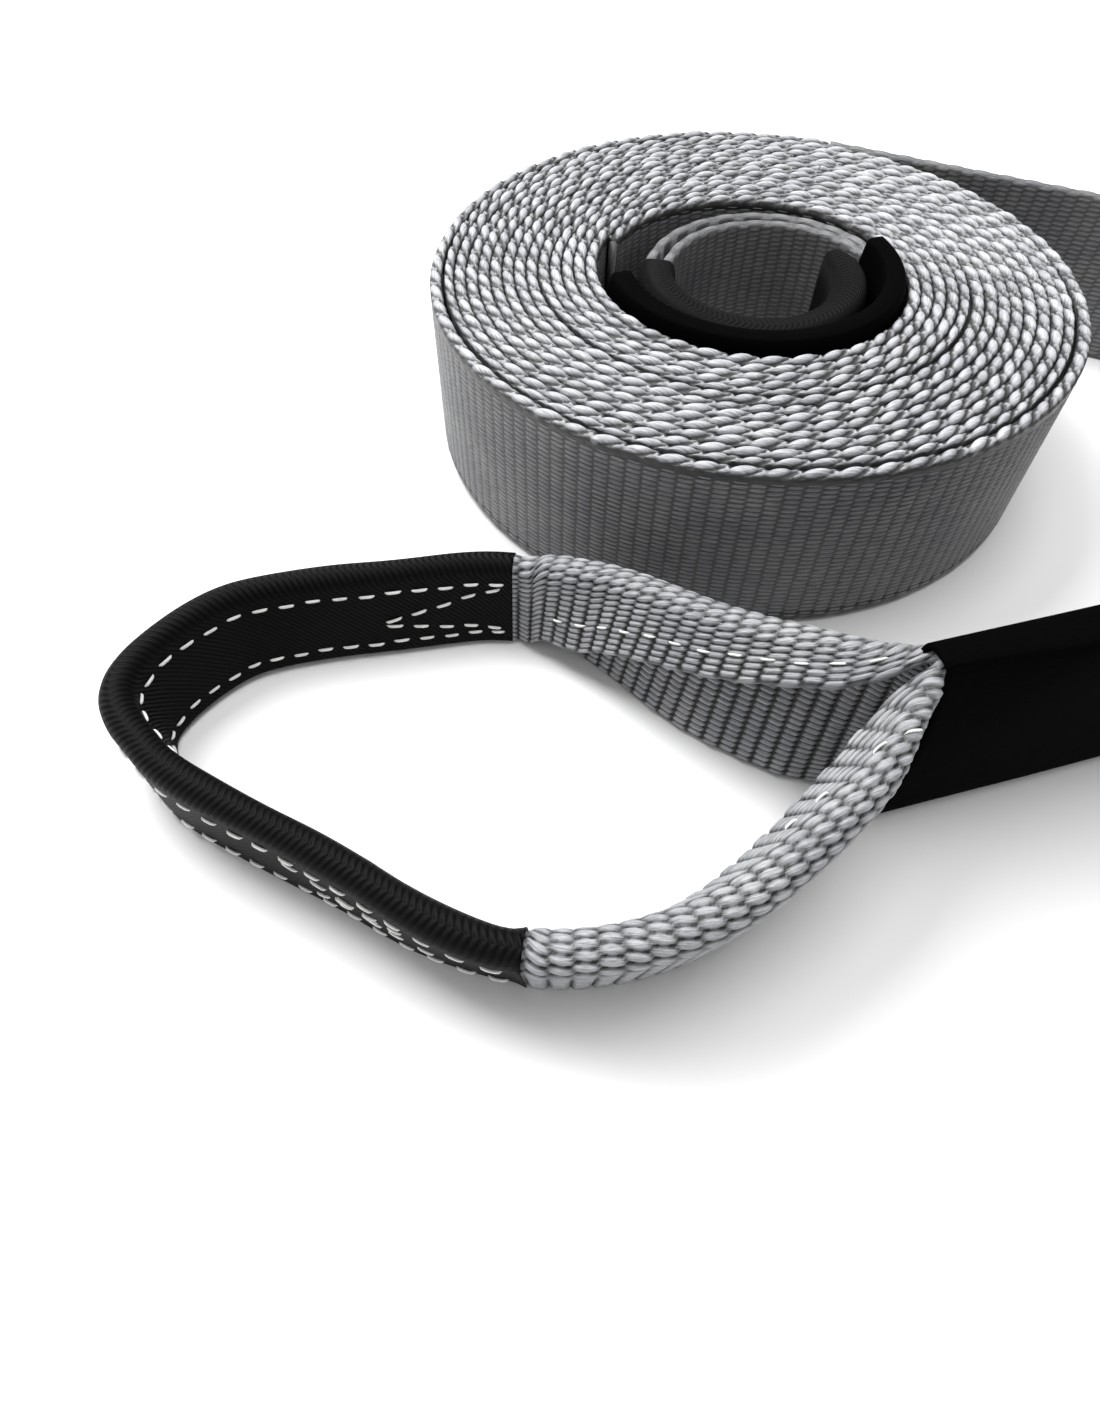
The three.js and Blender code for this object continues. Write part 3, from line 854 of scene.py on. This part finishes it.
def make_sleeves():
    floor_gap, mouth_reach, inner_thickness = 0.1, 2.6, 7.6
    high = WEBBING_WIDTH + 2 * SLEEVE_OFFSET
    line = Route(np.linspace(JOINT_START - JOINT_WAY * mouth_reach, JOINT_END, 100))
    outer = JOINT_THICKNESS + 2 * SLEEVE_OFFSET
    sleeve_tube("outer_joint_cover", line, outer, floor_gap, high, 0.0, JOINT_LENGTH + mouth_reach - 1, 1.5,
                ["outer_joint_sleeve"], mouth=0.6)
    radius = BORE_RADIUS - SLEEVE_OFFSET - inner_thickness / 2
    sweep = JOINT_LENGTH / radius
    bend = Route(arc((0, 0), radius, INNER_JOINT_START, INNER_JOINT_START + sweep, 200))
    sleeve_tube("inner_joint_cover", bend, inner_thickness, floor_gap, high - 0.6, 1.0, bend.length - 1, 1.5,
                ["inner_joint_sleeve"])


# Inner eye
INNER_EYE_LENGTH = 190.0
INNER_EYE_RADIUS = 27.4
INNER_PAD_MIDDLE = 24.3
INNER_PAD_HALF = 5.9


def inner_eye_route():
    first = BORE_RADIUS - CLEARANCE - SLEEVE_OFFSET - INNER_JOINT_THICKNESS / 2
    start = INNER_JOINT_START + JOINT_LENGTH / first
    angle = np.linspace(0, math.radians(420), 900)
    radius = lerp(first, INNER_EYE_RADIUS, smooth(angle / math.radians(150)))
    return Route(np.stack([radius * np.cos(start + angle), radius * np.sin(start + angle)], -1))


def make_inner_eye():
    route = inner_eye_route()
    half = WEBBING_THICKNESS / 2

    def side_by_side(shift):
        def mid(s, u):
            height = EDGE_HALF + u * 0.9 + 0 * s
            spread = shift * lerp(half, half + 0.9, smooth(s / 46))
            return spread + 0 * height, height, -1 + 0 * height, 0 * height
        return mid

    for name, shift, cells in (("inner_eye_near_leg", 1, (4, 64)), ("inner_eye_far_leg", -1, (64, 4))):
        distances = np.arange(0, INNER_EYE_LENGTH - 2, RIB_PITCH / 4)
        leg = band_tube(name, route, distances, side_by_side(shift), shaded_webbing_sides, *cells, BORE_RELIEF,
                        flat_blunt, seed=11 + shift)
        finish_piece(leg, "grey_webbing", "strap_webbing")
    return route


def inner_pad_stitches(route, start, end):
    """Two rows of thread on the face of the pad that looks into the roll's bore."""
    def surface(s, w, out):
        half_w = 6.1 + out + 0.3 * np.sin(s / 9)
        return half_w, INNER_PAD_MIDDLE + w + 0 * s, 1 + 0 * s, 0 * s

    rows = [(start + 3, end - 20, lambda s: 15.5 + 0 * s), (start + 3, end - 20, lambda s: -8.0 + 0 * s)]
    obj = stitches("inner_pad_stitches", rows, surface, route)
    finish_piece(obj, "pad_black")


def make_inner_pad(route):
    start, end = INNER_EYE_LENGTH - PAD_LENGTH / 2, INNER_EYE_LENGTH + PAD_OFFSET
    s = np.arange(start, end, 0.8)[:, None]
    angle = np.linspace(0, TAU, 120, endpoint=False)[None, :]
    taper = np.sqrt(np.clip((end - s) / 6, 0, 1))
    cos, sin = np.cos(angle), np.sin(angle)
    half_w = INNER_PAD_HALF * (0.25 + 0.75 * taper) + 0.3 * np.sin(s / 9)
    x = np.sign(cos) * np.abs(cos) ** 0.35 * half_w
    z = np.sign(sin) * np.abs(sin) ** 0.4 * 24.0
    height = INNER_PAD_MIDDLE + z + 0.5 * np.sin(s / 13)
    points = place(route, np.broadcast_to(s, x.shape), x, height)
    across = np.concatenate([(angle[0] - math.pi / 2) * 18, [(TAU - math.pi / 2) * 18]])
    uv = np.stack(np.broadcast_arrays(s, across[None, :]), -1)
    pad = tube("inner_eye_pad_cover", points, uv, np.ones(x.shape), pad_black)
    finish_piece(pad, "pad_black", "inner_eye_pad")
    inner_pad_stitches(route, start, end)


make_roll()
make_tail()
make_outer_eye()
make_outer_pad()
make_pad_stitches()
make_leg_stitches()
make_sleeves()
inner_route = make_inner_eye()
make_inner_pad(inner_route)


# Floor, light and camera
def make_floor():
    mesh = bpy.data.meshes.new("floor")
    size = 3.0
    corners = [(-size, -size, 0), (size, -size, 0), (size, size, 0), (-size, size, 0)]
    mesh.from_pydata(corners, [], [(0, 1, 2, 3)])
    material, tree, shader = material_nodes("floor")
    shader.inputs["Base Color"].default_value = (0.9, 0.9, 0.9, 1)
    shader.inputs["Roughness"].default_value = 0.9
    shader.inputs["Specular IOR Level"].default_value = 0.1
    mesh.materials.append(material)
    floor = bpy.data.objects.new("floor", mesh)
    bpy.context.collection.objects.link(floor)


def area_light(name, place_m, target_m, size, power):
    light = bpy.data.lights.new(name, "AREA")
    light.shape = "RECTANGLE"
    light.size, light.size_y = size
    light.energy = power
    obj = bpy.data.objects.new(name, light)
    obj.location = place_m
    way = np.asarray(target_m) - np.asarray(place_m)
    tilt = math.acos(-way[2] / np.linalg.norm(way))
    obj.rotation_euler = (tilt, 0, math.atan2(way[1], way[0]) - math.pi / 2)
    bpy.context.collection.objects.link(obj)


def make_light():
    world = bpy.data.worlds.new("studio")
    world.use_nodes = True
    world.node_tree.nodes["Background"].inputs["Color"].default_value = (1, 1, 1, 1)
    world.node_tree.nodes["Background"].inputs["Strength"].default_value = 0.5
    bpy.context.scene.world = world
    area_light("key", (-0.6, 0.5, 0.95), (-0.05, 0.0, 0.0), (0.7, 0.7), 18)
    area_light("top", (0.1, 0.1, 1.2), (0.0, 0.0, 0.0), (0.7, 0.7), 8)


# The camera was fitted to the photograph: a level heading along +Y, tilted down
CAMERA_PLACE = (-57.609, -246.079, 174.107)
CAMERA_TILT = math.radians(90 - 54.342)
CAMERA_ROLL = math.radians(0.321)
FOCAL_SHARE = 856.306 / 1422
SENSOR = 36.0


def make_camera():
    camera = bpy.data.cameras.new("camera")
    camera.sensor_width = SENSOR
    camera.lens = FOCAL_SHARE * SENSOR
    camera.clip_start = 0.01
    obj = bpy.data.objects.new("camera", camera)
    where = (np.array(CAMERA_PLACE) + ROLL_AXIS) / 1000
    obj.matrix_world = (Matrix.Translation(where) @ Matrix.Rotation(CAMERA_TILT, 4, "X")
                        @ Matrix.Rotation(CAMERA_ROLL, 4, "Z"))
    bpy.context.collection.objects.link(obj)
    bpy.context.scene.camera = obj


make_floor()
make_light()
make_camera()
bpy.context.scene.view_settings.view_transform = "Standard"
